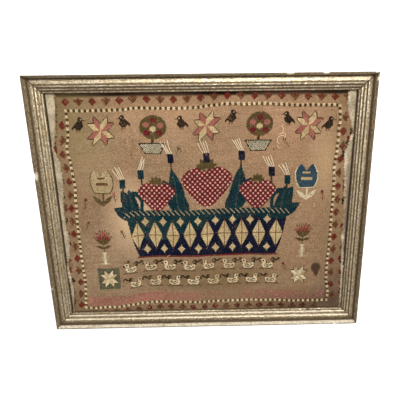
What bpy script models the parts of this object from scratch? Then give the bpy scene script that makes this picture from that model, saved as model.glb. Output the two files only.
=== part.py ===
"""A framed cross stitch sampler, lying on its back.

Metres, +Z up. The sampler's top edge points to +Y and its left edge to -X. The origin is
on the surface that the frame lies on, under the middle of the frame.
"""

import math

import bmesh
import bpy
from mathutils import Matrix, Vector

MM = 0.001

# Driving dimensions of the frame
FRAME_WIDTH = 0.600
FRAME_HEIGHT = 0.480
RAIL_WIDTH = 0.027
RABBET_WIDTH = 0.008
LIP_UNDERSIDE = 0.0086
MITRE_GAP = 0.0003

# The moulding's members, from the outer side inwards: a centre (across, up) and radii, in mm
RIM_CENTRE, RIM_RADII = (1.4, 22.0), (1.4, 1.4)
QUIRK_CENTRE, QUIRK_RADII = (3.8, 20.4), (1.0, 1.0)
CREST_CENTRE, CREST_OUTER_RADII = (9.6, 20.4), (4.8, 6.4)
CREST_INNER_CENTRE, CREST_INNER_RADII = (9.6, 18.3), (6.6, 8.5)
HOLLOW_CENTRE, HOLLOW_RADII = (19.6, 20.9), (3.7, 4.1)
BEAD_CENTRE, BEAD_RADII = (21.5, 15.2), (1.45, 1.45)
SIGHT_BEAD_CENTRE, SIGHT_BEAD_RADII = (25.35, 12.4), (1.65, 1.65)
FILLET = ((19.3, 15.0), (20.05, 15.0))
SIGHT_GROOVE = ((22.95, 13.3), (23.7, 13.3))

# The board behind the cloth, and the cloth
BOARD_THICKNESS = 0.003
BOARD_UNDERSIDE = 0.003
BOARD_CLEARANCE = 0.0005
CLOTH_THICKNESS = 0.001
CLOTH_CLEARANCE = 0.0003
CLOTH_TUCK = 0.006
CLOTH_COLUMNS, CLOTH_ROWS = 42, 34

# The cloth's uneven sides, in mm: height over the middle, and gap to the frame's sight edge
LEFT_SIDE = (
    (220, 15.0), (200, 15.7), (168, 12.6), (134, 8.0), (121, 1.6), (107, 5.3), (80, 11.5), (55, 12.0),
    (10, 7.3), (-35, 8.2), (-57, 10.0), (-90, 7.0), (-110, 2.7), (-130, 4.6), (-156, 8.5), (-220, 5.5),
)
RIGHT_SIDE = (
    (220, 14.0), (196, 13.5), (176, 14.0), (160, 8.0), (142, 0.8), (126, 5.0), (108, 9.5), (85, 12.0),
    (41, 10.0), (12, 8.0), (-56, 9.0), (-108, 8.0), (-163, 6.4), (-220, 6.0),
)

# Soft puckers in the cloth, in mm and degrees: centre, direction, half length, half width, height
PUCKERS = (
    (-236, 118, 8, 52, 13, 1.3),
    (-247, -108, -10, 40, 12, 1.0),
    (245, 138, 172, 46, 12, 1.2),
    (96, 128, 62, 70, 20, 0.9),
    (-118, 122, 118, 64, 19, 0.9),
    (206, -96, 96, 74, 17, 1.0),
    (-30, -148, 4, 150, 14, 0.9),
    (-186, 20, 84, 90, 18, 0.8),
)


def clear_scene():
    for item in list(bpy.data.objects):
        bpy.data.objects.remove(item)


def finish_material(name, colour, roughness, metallic):
    material = bpy.data.materials.new(name)
    material.use_nodes = True
    shader = material.node_tree.nodes["Principled BSDF"]
    shader.inputs["Base Color"].default_value = (*colour, 1.0)
    shader.inputs["Roughness"].default_value = roughness
    shader.inputs["Metallic"].default_value = metallic
    return material


def arc(centre, radii, start, end, steps):
    """Points in metres along an elliptical arc given in mm, from one angle to another in degrees."""
    points = []
    for step in range(steps + 1):
        angle = math.radians(start + (end - start) * step / steps)
        across = centre[0] + radii[0] * math.cos(angle)
        up = centre[1] + radii[1] * math.sin(angle)
        points.append((across * MM, up * MM))
    return points


def moulding_section():
    """The moulding's closed outline: how far inwards from the outer side, and how far up from the back."""
    points = [(0.0, 0.0)]
    points += arc(RIM_CENTRE, RIM_RADII, 180, 0, 8)
    points += arc(QUIRK_CENTRE, QUIRK_RADII, 180, 360, 6)[:-1]
    points += arc(CREST_CENTRE, CREST_OUTER_RADII, 180, 90, 8)
    points += arc(CREST_INNER_CENTRE, CREST_INNER_RADII, 90, 18, 8)[1:]
    points += arc(HOLLOW_CENTRE, HOLLOW_RADII, 180, 262, 6)
    points += [(across * MM, up * MM) for across, up in FILLET]
    points += arc(BEAD_CENTRE, BEAD_RADII, 180, 0, 8)
    points += [(across * MM, up * MM) for across, up in SIGHT_GROOVE]
    points += arc(SIGHT_BEAD_CENTRE, SIGHT_BEAD_RADII, 180, 0, 8)
    points += [
        (RAIL_WIDTH, LIP_UNDERSIDE),
        (RAIL_WIDTH - RABBET_WIDTH, LIP_UNDERSIDE),
        (RAIL_WIDTH - RABBET_WIDTH, 0.0),
    ]
    return points


def moulding_length(name, length):
    """A straight length of moulding along X, as a mesh: outer side at Y 0, sight edge towards +Y, back at Z 0."""
    curve = bpy.data.curves.new(name + "_section", "CURVE")
    curve.dimensions = "2D"
    curve.fill_mode = "BOTH"
    curve.extrude = length / 2
    section = moulding_section()
    spline = curve.splines.new("POLY")
    spline.points.add(len(section) - 1)
    for point, (across, up) in zip(spline.points, section):
        point.co = (across, up, 0.0, 1.0)
    spline.use_cyclic_u = True
    drawn = bpy.data.objects.new(name + "_section", curve)
    bpy.context.scene.collection.objects.link(drawn)
    graph = bpy.context.evaluated_depsgraph_get()
    mesh = bpy.data.meshes.new_from_object(drawn.evaluated_get(graph))
    bpy.data.objects.remove(drawn)
    # The outline is drawn in X and Y and extruded along Z, so the axes move round by one place
    mesh.transform(Matrix(((0, 0, 1, 0), (1, 0, 0, 0), (0, 1, 0, 0), (0, 0, 0, 1))))
    return mesh


def cut_mitres(mesh, length):
    """Cuts both ends at 45 degrees, each set back by half of the gap between two rails."""
    work = bmesh.new()
    work.from_mesh(mesh)
    bmesh.ops.remove_doubles(work, verts=work.verts, dist=0.00001)
    for side in (-1, 1):
        outward = Vector((side, 1.0, 0.0)).normalized()
        corner = Vector((side * length / 2, 0.0, 0.0)) - outward * MITRE_GAP / 2
        everything = work.verts[:] + work.edges[:] + work.faces[:]
        cut = bmesh.ops.bisect_plane(
            work, geom=everything, dist=0.000001, plane_co=corner, plane_no=outward, clear_outer=True
        )
        rim = [piece for piece in cut["geom_cut"] if isinstance(piece, bmesh.types.BMEdge)]
        bmesh.ops.contextual_create(work, geom=rim)
    bmesh.ops.triangulate(work, faces=[face for face in work.faces if len(face.verts) > 4])
    bmesh.ops.recalc_face_normals(work, faces=work.faces)
    work.to_mesh(mesh)
    work.free()


def shade(mesh, angle):
    mesh.shade_smooth()
    mesh.set_sharp_from_angle(angle=math.radians(angle))


def place(name, mesh, material, collection, location=(0, 0, 0), turn=0.0):
    mesh.materials.clear()
    mesh.materials.append(material)
    piece = bpy.data.objects.new(name, mesh)
    piece.location = location
    piece.rotation_euler = (0.0, 0.0, math.radians(turn))
    collection.objects.link(piece)
    return piece


def build_rails(collection):
    """Four mitred rails. Each is made along X with its outer side outwards, then turned to its side."""
    gilding = finish_material("gilt_frame", (0.46, 0.36, 0.22), 0.42, 0.55)
    rails = (
        ("rail_bottom", FRAME_WIDTH, (0, -FRAME_HEIGHT / 2, 0), 0),
        ("rail_right", FRAME_HEIGHT, (FRAME_WIDTH / 2, 0, 0), 90),
        ("rail_top", FRAME_WIDTH, (0, FRAME_HEIGHT / 2, 0), 180),
        ("rail_left", FRAME_HEIGHT, (-FRAME_WIDTH / 2, 0, 0), 270),
    )
    for name, length, location, turn in rails:
        mesh = moulding_length(name, length)
        cut_mitres(mesh, length)
        shade(mesh, 35)
        place(name, mesh, gilding, collection, location, turn)


def build_board(collection):
    """A flat board that fills the rabbet, a little above the back of the frame."""
    inset = 2 * (RAIL_WIDTH - RABBET_WIDTH + BOARD_CLEARANCE)
    size = (FRAME_WIDTH - inset, FRAME_HEIGHT - inset, BOARD_THICKNESS)
    work = bmesh.new()
    bmesh.ops.create_cube(work, size=1.0)
    bmesh.ops.scale(work, vec=size, verts=work.verts)
    mesh = bpy.data.meshes.new("backing_board")
    work.to_mesh(mesh)
    work.free()
    material = finish_material("backing_board", (0.52, 0.48, 0.38), 0.85, 0.0)
    middle = BOARD_UNDERSIDE + BOARD_THICKNESS / 2
    board = place("backing_board", mesh, material, collection, (0, 0, middle))
    edge = board.modifiers.new("worn_edges", "BEVEL")
    edge.width = 0.0004
    edge.segments = 1


def side_gap(rows, height):
    """The gap in metres from the cloth's side to the sight edge, smoothed between a table's rows."""
    height = height / MM
    for (upper, upper_gap), (lower, lower_gap) in zip(rows, rows[1:]):
        if height >= lower:
            share = min(max((upper - height) / (upper - lower), 0.0), 1.0)
            eased = share * share * (3 - 2 * share)
            return (upper_gap + (lower_gap - upper_gap) * eased) * MM
    return rows[-1][1] * MM


def pucker_height(x, y):
    """How far the cloth lifts at a point, in metres. It lies flat where the frame's lip holds it."""
    lift = 0.0
    for centre_x, centre_y, turn, half_length, half_width, height in PUCKERS:
        angle = math.radians(turn)
        from_x = x / MM - centre_x
        from_y = y / MM - centre_y
        along = (from_x * math.cos(angle) + from_y * math.sin(angle)) / half_length
        across = (from_y * math.cos(angle) - from_x * math.sin(angle)) / half_width
        lift += height * MM * math.exp(-along * along - across * across)
    held_from = FRAME_HEIGHT / 2 - RAIL_WIDTH
    free = min(max((held_from - abs(y)) / 0.03, 0.0), 1.0)
    return lift * free * free * (3 - 2 * free)


def build_cloth(collection):
    """One sheet of linen with wavy raw sides, tucked under the frame at its top and bottom."""
    half_width = FRAME_WIDTH / 2 - RAIL_WIDTH
    half_height = FRAME_HEIGHT / 2 - RAIL_WIDTH + CLOTH_TUCK
    underside = BOARD_UNDERSIDE + BOARD_THICKNESS + CLOTH_CLEARANCE
    work = bmesh.new()
    bmesh.ops.create_grid(work, x_segments=CLOTH_COLUMNS, y_segments=CLOTH_ROWS, size=1.0)
    for vertex in work.verts:
        y = vertex.co.y * half_height
        left = side_gap(LEFT_SIDE, y) - half_width
        right = half_width - side_gap(RIGHT_SIDE, y)
        x = left + (right - left) * (vertex.co.x + 1) / 2
        vertex.co = (x, y, underside + pucker_height(x, y))
    mesh = bpy.data.meshes.new("sampler_cloth")
    work.to_mesh(mesh)
    work.free()
    shade(mesh, 60)
    material = finish_material("linen_ground", (0.36, 0.24, 0.15), 0.95, 0.0)
    cloth = place("sampler_cloth", mesh, material, collection)
    body = cloth.modifiers.new("linen_thickness", "SOLIDIFY")
    body.thickness = CLOTH_THICKNESS
    body.offset = 1.0


def main():
    clear_scene()
    collection = bpy.data.collections.new("framed_sampler")
    bpy.context.scene.collection.children.link(collection)
    build_rails(collection)
    build_board(collection)
    build_cloth(collection)


main()
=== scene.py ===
"""The looks of an old cross stitch sampler in its worn gilt moulding, lying on its back.

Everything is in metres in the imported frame: +Z out of the picture's face, +Y towards its top.
"""

import math
import random

import bmesh
import bpy
from mathutils import Euler, Matrix, Vector, kdtree, noise
from mathutils.bvhtree import BVHTree


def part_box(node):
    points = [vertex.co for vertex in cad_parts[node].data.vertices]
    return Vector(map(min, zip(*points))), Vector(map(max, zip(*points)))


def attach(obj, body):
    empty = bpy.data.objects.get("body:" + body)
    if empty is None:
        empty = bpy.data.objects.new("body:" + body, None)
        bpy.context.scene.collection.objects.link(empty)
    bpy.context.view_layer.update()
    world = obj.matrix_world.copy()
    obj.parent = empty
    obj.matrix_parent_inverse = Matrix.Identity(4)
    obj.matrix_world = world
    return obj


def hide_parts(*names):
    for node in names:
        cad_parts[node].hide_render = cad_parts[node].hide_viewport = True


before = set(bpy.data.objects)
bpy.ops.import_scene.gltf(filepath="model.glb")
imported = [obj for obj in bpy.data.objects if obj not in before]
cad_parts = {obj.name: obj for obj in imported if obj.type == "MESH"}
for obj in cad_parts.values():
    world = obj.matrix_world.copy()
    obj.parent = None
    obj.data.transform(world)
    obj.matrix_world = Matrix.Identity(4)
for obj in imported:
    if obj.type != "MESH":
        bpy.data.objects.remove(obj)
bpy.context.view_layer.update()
MM = 0.001


# The view
# A camera just above the upper middle of the frame, tilted to look down its face, so that the
# top edge is nearer than the foot. A pale floor lies under the frame.
view_lens = bpy.data.cameras.new("view")
view_lens.lens = 32.46
view_lens.shift_x = -0.0554
view_lens.shift_y = -0.00125
camera = bpy.data.objects.new("view", view_lens)
camera.location = (0.024526, 0.190327, 0.657902)
camera.rotation_euler = Euler(math.radians(turn) for turn in (-14.824, -0.924, -0.694))
bpy.context.scene.collection.objects.link(camera)
bpy.context.scene.camera = camera
bpy.context.scene.view_settings.view_transform = "Standard"


def to_linear(red, green, blue):
    """A colour named in steps of 0 to 255, as the linear colour that a shader takes."""
    steps = [channel / 255 for channel in (red, green, blue)]
    return (*[s / 12.92 if s <= 0.04045 else ((s + 0.055) / 1.055) ** 2.4 for s in steps], 1.0)


def new_finish(name, roughness, metallic=0.0):
    """A material with nodes, and its shader."""
    finish = bpy.data.materials.new(name)
    finish.use_nodes = True
    shader = finish.node_tree.nodes["Principled BSDF"]
    shader.inputs["Roughness"].default_value = roughness
    shader.inputs["Metallic"].default_value = metallic
    return finish, shader


def add_node(finish, kind, inputs=None, **settings):
    """A node of a finish. An input given as a socket is linked, and any other is set."""
    made = finish.node_tree.nodes.new(kind)
    for name, value in settings.items():
        setattr(made, name, value)
    for name, value in (inputs or {}).items():
        if isinstance(value, bpy.types.NodeSocket):
            finish.node_tree.links.new(value, made.inputs[name])
        else:
            made.inputs[name].default_value = value
    return made


def soft_box(name, place, aim, size, watts, colour=(1.0, 1.0, 1.0)):
    """A rectangular studio lamp that faces a point."""
    lamp = bpy.data.lights.new(name, "AREA")
    lamp.shape = "RECTANGLE"
    lamp.size, lamp.size_y = size
    lamp.energy = watts
    lamp.color = colour
    stand = bpy.data.objects.new(name, lamp)
    stand.location = place
    stand.rotation_euler = (Vector(aim) - Vector(place)).to_track_quat("-Z", "Y").to_euler()
    bpy.context.scene.collection.objects.link(stand)


soft_box("window_light", (0.28, 0.80, 1.42), (0, 0, 0), (1.1, 0.5), 29, (1.0, 0.98, 0.95))
soft_box("room_light", (0.25, 0.35, 1.9), (0, 0, 0), (1.4, 1.0), 8)
room = bpy.data.worlds.new("room")
room.use_nodes = True
room.node_tree.nodes["Background"].inputs["Color"].default_value = (0.84, 0.82, 0.79, 1.0)
room.node_tree.nodes["Background"].inputs["Strength"].default_value = 0.42
bpy.context.scene.world = room

floor_shape = bmesh.new()
bmesh.ops.create_grid(floor_shape, x_segments=1, y_segments=1, size=3.0)
bmesh.ops.translate(floor_shape, vec=(0, 0, -0.0004), verts=floor_shape.verts)
floor_mesh = bpy.data.meshes.new("pale_floor")
floor_shape.to_mesh(floor_mesh)
floor_shape.free()
floor = bpy.data.objects.new("pale_floor", floor_mesh)
bpy.context.scene.collection.objects.link(floor)
floor_finish, floor_shader = new_finish("pale_floor", 0.9)
floor_shader.inputs["Base Color"].default_value = (0.80, 0.80, 0.80, 1.0)
floor_shader.inputs["Emission Color"].default_value = (1.0, 1.0, 1.0, 1.0)
floor_shader.inputs["Emission Strength"].default_value = 0.55
floor_mesh.materials.append(floor_finish)


# The backing board
# A pasteboard with an old pale paper face, which fills the rabbet and shows as a strip on both
# sides of the linen. The paper is foxed and rubbed, and next to the side rails it carries painted shade with
# some dust, near black under their lips.
def scaled_place(finish, stretch=(1.0, 1.0, 1.0), turn=0.0):
    """The object's own coordinates, stretched and turned about Z."""
    own = add_node(finish, "ShaderNodeTexCoord").outputs["Object"]
    mapped = add_node(finish, "ShaderNodeMapping", {"Vector": own, "Scale": stretch})
    mapped.inputs["Rotation"].default_value = (0.0, 0.0, math.radians(turn))
    return mapped.outputs["Vector"]


def noisy(finish, where, scale, detail=4.0, roughness=0.55, low=0.35, high=0.65):
    """Noise stretched so that low reads 0 and high reads 1."""
    inputs = {"Vector": where, "Scale": scale, "Detail": detail, "Roughness": roughness}
    grain = add_node(finish, "ShaderNodeTexNoise", inputs)
    return ranged(finish, grain.outputs["Fac"], low, high)


def ranged(finish, value, low, high, first=0.0, last=1.0):
    """A value carried from one range to another, held at its ends."""
    inputs = {"Value": value, "From Min": low, "From Max": high, "To Min": first, "To Max": last}
    return add_node(finish, "ShaderNodeMapRange", inputs).outputs["Result"]


def worked(finish, operation, first, second):
    """One step of arithmetic on two values, kept within 0 and 1."""
    step = add_node(finish, "ShaderNodeMath", operation=operation, use_clamp=True)
    for socket, value in zip(step.inputs, (first, second)):
        if isinstance(value, bpy.types.NodeSocket):
            finish.node_tree.links.new(value, socket)
        else:
            socket.default_value = value
    return step.outputs["Value"]


def mixed(finish, share, first, second, kind="MIX"):
    """Two colours mixed by a share, or one laid over the other in another way."""
    mixer = add_node(finish, "ShaderNodeMix", data_type="RGBA", blend_type=kind)
    for socket, value in ((mixer.inputs[0], share), (mixer.inputs[6], first), (mixer.inputs[7], second)):
        if isinstance(value, bpy.types.NodeSocket):
            finish.node_tree.links.new(value, socket)
        else:
            socket.default_value = value
    return mixer.outputs[2]


def glazed(finish, tone, mask, share, colour):
    """A colour, named in steps of 0 to 255, laid over a tone as far as a mask and a share say."""
    return mixed(finish, worked(finish, "MULTIPLY", mask, share), tone, to_linear(*colour))


def raised(finish, shader, height, distance, strength=1.0):
    """Bump from a height that reads 0 to 1, of a depth in metres."""
    bump = add_node(finish, "ShaderNodeBump", {"Height": height, "Distance": distance, "Strength": strength})
    finish.node_tree.links.new(bump.outputs["Normal"], shader.inputs["Normal"])


def coloured(finish, shader, tone):
    """Gives a shader its tone."""
    finish.node_tree.links.new(tone, shader.inputs["Base Color"])


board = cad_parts["backing_board"]
paper, paper_shader = new_finish("old_paper", 0.88)
paper_shader.inputs["Specular IOR Level"].default_value = 0.2
paper_fibres = noisy(paper, scaled_place(paper, (1.0, 0.35, 1.0)), 900.0, 3.0)
paper_clouds = noisy(paper, scaled_place(paper), 34.0, 5.0)
paper_foxing = noisy(paper, scaled_place(paper), 260.0, 4.0, low=0.54, high=0.66)
paper_tone = mixed(paper, paper_clouds, to_linear(124, 110, 86), to_linear(184, 169, 142))
paper_tone = glazed(paper, paper_tone, paper_foxing, 0.8, (96, 74, 46))
paper_tone = glazed(paper, paper_tone, paper_fibres, 0.35, (206, 196, 170))
paper_place = add_node(paper, "ShaderNodeTexCoord").outputs["Object"]
paper_axes = add_node(paper, "ShaderNodeSeparateXYZ", {"Vector": paper_place})
# Painted shade, with some dust, on the paper where it runs under the left and right lips
left_dirt = ranged(paper, paper_axes.outputs["X"], -0.2688, -0.2708)
right_dirt = ranged(paper, paper_axes.outputs["X"], 0.2684, 0.2704, 0.0, 0.85)
to_right = ranged(paper, paper_axes.outputs["X"], 0.1, 0.2)
lower_right = worked(paper, "MULTIPLY", to_right, ranged(paper, paper_axes.outputs["Y"], 0.17, 0.03))
paper_tone = glazed(paper, paper_tone, lower_right, 0.95, (112, 96, 80))
paper_tone = mixed(paper, worked(paper, "ADD", left_dirt, right_dirt), paper_tone, to_linear(34, 22, 8))
coloured(paper, paper_shader, paper_tone)
raised(paper, paper_shader, paper_fibres, 0.00015, 0.6)
board.data.materials.clear()
board.data.materials.append(paper)


# The linen ground
# One piece of coarse unbleached linen gone tan with age. It is tucked under the frame at its top
# and foot and lies a little puckered, and its raw sides wander short of the frame.
linen_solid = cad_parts["sampler_cloth"]
LINEN_COLUMNS, LINEN_ROWS = 120, 180
LINEN_THICKNESS = 0.0007
THREAD_PITCH = 0.0008
SIDE_STEP = 0.004
linen_tree = BVHTree.FromPolygons(
    [vertex.co for vertex in linen_solid.data.vertices],
    [face.vertices for face in linen_solid.data.polygons],
)
linen_low, linen_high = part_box("sampler_cloth")


def linen_top(x, y):
    """The height of the linen's face: the solid's top, and the ripple of a hand stretched cloth."""
    hit = linen_tree.ray_cast(Vector((x, y, 0.05)), Vector((0, 0, -1)))[0]
    if hit is None:
        hit = linen_tree.find_nearest(Vector((x, y, linen_high[2])))[0]
    ripple = noise.noise(Vector((x * 38, y * 21, 3.0))) * 0.00022
    ripple += noise.noise(Vector((x * 110, y * 90, 9.0))) * 0.00008
    return hit.z + ripple - 0.0001


def linen_side_rows():
    """The solid's leftmost and rightmost place at each height, taken in steps."""
    rows = {}
    for vertex in linen_solid.data.vertices:
        row = round(vertex.co.y / SIDE_STEP)
        left, right = rows.get(row, (1.0, -1.0))
        rows[row] = (min(left, vertex.co.x), max(right, vertex.co.x))
    return sorted((row * SIDE_STEP, *sides) for row, sides in rows.items())


linen_rows = linen_side_rows()
# How far the frayed sides reach past the solid's, in mm: height, reach
LEFT_REACH = ((-210, 1.7), (-150, 1.2), (-110, 0), (-70, -1.5), (60, -1.5), (100, -1.9), (200, -2.3))
RIGHT_REACH = (
    (-210, 3), (-120, 2.6), (-60, 0.7), (0, -0.9), (60, -1.4), (86, -1.6), (104, -4.6), (122, -2.4),
    (200, -1.9),
)


def drift(rows, along):
    """A table's value at a place along it, smoothed between its rows, all in metres."""
    along = along / MM
    for (near, near_drift), (far, far_drift) in zip(rows, rows[1:]):
        if along <= far:
            share = min(max((along - near) / (far - near), 0.0), 1.0)
            return (near_drift + (far_drift - near_drift) * share * share * (3 - 2 * share)) * MM
    return rows[-1][1] * MM


def linen_sides(y):
    """Where the raw sides are at a height, with the small steps of pulled threads."""
    for (low, left, right), (high, next_left, next_right) in zip(linen_rows, linen_rows[1:]):
        if y <= high:
            share = min(max((y - low) / (high - low), 0.0), 1.0)
            left += (next_left - left) * share
            right += (next_right - right) * share
            break
    ragged = []
    for side in (0.0, 7.0):
        wander = noise.noise(Vector((side, y * 95, 1.0))) * 0.0007
        ragged.append(wander + noise.noise(Vector((side, y * 420, 4.0))) * 0.0004)
    left += 0.0006 - drift(LEFT_REACH, y) + ragged[0]
    right += drift(RIGHT_REACH, y) - 0.0006 + ragged[1]
    return left, right


def new_piece(name, shape, finish, smooth_angle=None):
    """A finished bmesh as a piece of the frame's one body."""
    mesh = bpy.data.meshes.new(name)
    shape.to_mesh(mesh)
    shape.free()
    mesh.materials.append(finish)
    if smooth_angle is not None:
        mesh.shade_smooth()
        mesh.set_sharp_from_angle(angle=math.radians(smooth_angle))
    piece = bpy.data.objects.new(name, mesh)
    bpy.context.scene.collection.objects.link(piece)
    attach(piece, "root")
    return piece


linen, linen_shader = new_finish("aged_linen", 0.93)
linen_shader.inputs["Specular IOR Level"].default_value = 0.15
own_place = add_node(linen, "ShaderNodeTexCoord").outputs["Object"]
linen_axes = add_node(linen, "ShaderNodeSeparateXYZ", {"Vector": own_place})


def along_linen(axis, low, high):
    """0 up to a place along an axis of the linen, and 1 from another on."""
    return ranged(linen, linen_axes.outputs[axis], low, high)


side_share = along_linen("X", -0.24, 0.25)
height_share = along_linen("Y", -0.20, 0.20)
foot_tone = mixed(linen, side_share, to_linear(164, 139, 114), to_linear(134, 109, 87))
head_tone = mixed(linen, side_share, to_linear(182, 146, 114), to_linear(172, 134, 104))
linen_tone = mixed(linen, height_share, foot_tone, head_tone)
clouds = noisy(linen, scaled_place(linen), 13.0, 5.0, low=0.38, high=0.62)
linen_tone = glazed(linen, linen_tone, clouds, 0.58, (124, 98, 66))
blush = noisy(linen, scaled_place(linen), 7.0, 2.0, low=0.45, high=0.70)
linen_tone = glazed(linen, linen_tone, blush, 0.30, (186, 138, 108))
mottle = noisy(linen, scaled_place(linen), 90.0, 5.0, 0.7, 0.38, 0.66)
linen_tone = glazed(linen, linen_tone, mottle, 0.46, (104, 78, 50))
flecks = noisy(linen, scaled_place(linen, (0.6, 1.0, 1.0)), 330.0, 4.0, 0.7, 0.48, 0.62)
linen_tone = glazed(linen, linen_tone, flecks, 0.36, (88, 62, 40))
grey_bloom = noisy(linen, scaled_place(linen), 24.0, 5.0, 0.65, 0.50, 0.68)
linen_tone = glazed(linen, linen_tone, grey_bloom, 0.45, (150, 134, 112))
warp_streaks = noisy(linen, scaled_place(linen, (1.0, 0.03, 1.0)), 300.0, 3.0, low=0.32, high=0.70)
weft_streaks = noisy(linen, scaled_place(linen, (0.05, 1.0, 1.0)), 240.0, 4.0, low=0.36, high=0.66)
linen_tone = glazed(linen, linen_tone, warp_streaks, 0.22, (104, 78, 52))
linen_tone = glazed(linen, linen_tone, weft_streaks, 0.40, (104, 78, 52))


def threads_across(direction):
    """Round linen threads side by side, as a height."""
    scale = math.pi / THREAD_PITCH / 20.0
    inputs = {"Vector": scaled_place(linen), "Scale": scale}
    inputs.update({"Distortion": 0.6, "Detail": 1.0, "Detail Scale": 1.5})
    wave = add_node(linen, "ShaderNodeTexWave", inputs, bands_direction=direction, wave_profile="SIN")
    return wave.outputs["Fac"]


weave = worked(linen, "MULTIPLY", threads_across("X"), threads_across("Y"))
slubs = noisy(linen, scaled_place(linen), 420.0, 3.0, 0.7, 0.46, 0.66)
linen_tone = glazed(linen, linen_tone, slubs, 0.56, (214, 182, 144))
# The gaps between the linen threads are darkened as painted shade
linen_tone = mixed(linen, ranged(linen, weave, 0.0, 0.30, 0.45, 0.0), linen_tone, to_linear(82, 60, 42))
dirt_patches = noisy(linen, scaled_place(linen), 60.0, 5.0, 0.6, 0.40, 0.68)
frame_dirt = worked(linen, "ADD", along_linen("Y", 0.175, 0.222), along_linen("Y", -0.170, -0.222))
frame_dirt = worked(linen, "ADD", frame_dirt, along_linen("X", -0.225, -0.285))
frame_dirt = worked(linen, "ADD", frame_dirt, along_linen("X", 0.225, 0.280))
frame_dirt = worked(linen, "MULTIPLY", frame_dirt, worked(linen, "ADD", dirt_patches, 0.25))
linen_tone = glazed(linen, linen_tone, frame_dirt, 0.72, (92, 72, 42))
# A near-black line of painted shadow on the linen just inside the head rail's lip, and a fainter one inside
# the foot rail's lip
foot_lip_shadow = worked(linen, "MULTIPLY", along_linen("Y", -0.2085, -0.2120), 0.6)
painted_lip_shadow = worked(linen, "ADD", along_linen("Y", 0.2030, 0.2070), foot_lip_shadow)
linen_tone = glazed(linen, linen_tone, painted_lip_shadow, 1.0, (20, 6, 2))


def spotted(tone, x, y, half_wide, half_high, softness, share, colour):
    """A colour laid over the linen's tone inside an ellipse, given in mm, with a soft rim."""
    inputs = {
        "Vector": add_node(linen, "ShaderNodeTexCoord").outputs["Object"],
        "Location": (-x / half_wide, -y / half_high, 0.0),
        "Scale": (1 / (half_wide * MM), 1 / (half_high * MM), 0.0),
    }
    shift = add_node(linen, "ShaderNodeMapping", inputs)
    reach = add_node(linen, "ShaderNodeVectorMath", {0: shift.outputs["Vector"]}, operation="LENGTH")
    inside = ranged(linen, reach.outputs["Value"], 1.0 - softness, 1.0 + softness, 1.0, 0.0)
    return glazed(linen, tone, inside, share, colour)


SOILED = (96, 76, 50)
# Patches that time has bleached or soiled, in mm: x, y, half sizes, softness, how far, towards what tone
PATCHES = (
    (222, 84, 22, 44, 0.8, 0.28, (206, 176, 132)), (-136, -16, 36, 52, 0.8, 0.72, (206, 176, 140)),
    (10, -120, 150, 40, 0.5, 0.24, SOILED), (-215, 178, 50, 40, 0.8, 0.24, SOILED),
    (226, 150, 60, 60, 0.9, 0.16, (104, 82, 56)), (60, -178, 160, 26, 0.6, 0.24, SOILED),
    (-100, 92, 40, 30, 0.9, 0.24, SOILED), (-247, 60, 18, 130, 0.8, 0.24, SOILED),
    (-205, 20, 34, 60, 0.8, 0.22, SOILED), (226, -70, 44, 60, 0.8, 0.24, SOILED),
    (0, -140, 122, 26, 0.25, 0.36, (92, 74, 40)), (-250, 180, 36, 44, 0.8, 0.30, (96, 86, 50)),
    (225, 20, 40, 50, 0.9, 0.10, SOILED), (-212, 122, 44, 62, 0.8, 0.42, (134, 120, 84)),
    (-70, 170, 60, 30, 0.8, 0.22, (188, 146, 112)), (140, 150, 60, 50, 0.8, 0.22, (186, 140, 112)),
    (215, -200, 74, 24, 0.8, 0.66, (66, 50, 42)), (252, -166, 26, 54, 0.8, 0.50, (70, 54, 46)),
    (65, 140, 44, 28, 0.9, 0.26, (104, 80, 54)), (122, 86, 36, 34, 0.9, 0.26, (110, 82, 54)),
)
for patch in PATCHES:
    linen_tone = spotted(linen_tone, *patch)
# An old drop of oil by the right side, in mm: x, y, half sizes, softness
for oil_spot in ((215.2, -123, 9.4, 10.2, 0.18), (216.6, -132, 4.8, 9.6, 0.24)):
    linen_tone = spotted(linen_tone, *oil_spot, 1.0, (66, 48, 34))
# Moth holes, each a dark spot of painted shade in place of the hole, in mm: x, y, half sizes
for moth_hole in (
    (-129.8, 103.5, 1.5, 1.4), (127, 110.5, 1.6, 1.3), (133, 113.5, 2.4, 0.8), (-228, -5, 1.3, 1.2),
    (-118, -62, 1.1, 1.1), (158, 66, 1.2, 0.9), (236, 31, 1, 1.6), (-40, 108, 1.3, 1),
):
    linen_tone = spotted(linen_tone, *moth_hole, 0.25, 1.0, (48, 32, 22))
coloured(linen, linen_shader, linen_tone)
raised(linen, linen_shader, weave, 0.0003, 0.7)

linen_shape = bmesh.new()
bmesh.ops.create_grid(linen_shape, x_segments=LINEN_COLUMNS, y_segments=LINEN_ROWS, size=1.0)
linen_half_height = (linen_high[1] - linen_low[1]) / 2 - 0.0005
for vertex in linen_shape.verts:
    y = vertex.co.y * linen_half_height
    left, right = linen_sides(y)
    x = left + (right - left) * (vertex.co.x + 1) / 2
    vertex.co = (x, y, linen_top(x, y))
linen_ground = new_piece("linen_ground", linen_shape, linen, 60)
linen_body = linen_ground.modifiers.new("thickness", "SOLIDIFY")
linen_body.thickness = LINEN_THICKNESS
linen_body.offset = -1.0
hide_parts("sampler_cloth")


# The counted chart
# The embroidery is counted over two threads of the linen. The chart holds the thread of each
# stitch by its column and row from the middle, and the linen has pulled it out of square.
STITCH_ACROSS, STITCH_UP = 1.558 * MM, 1.662 * MM
CHART_RIGHT, CHART_DROP = 0.25 * MM, 4.75 * MM
COLUMNS_OUT, ROWS_OUT = 154, 115
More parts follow.
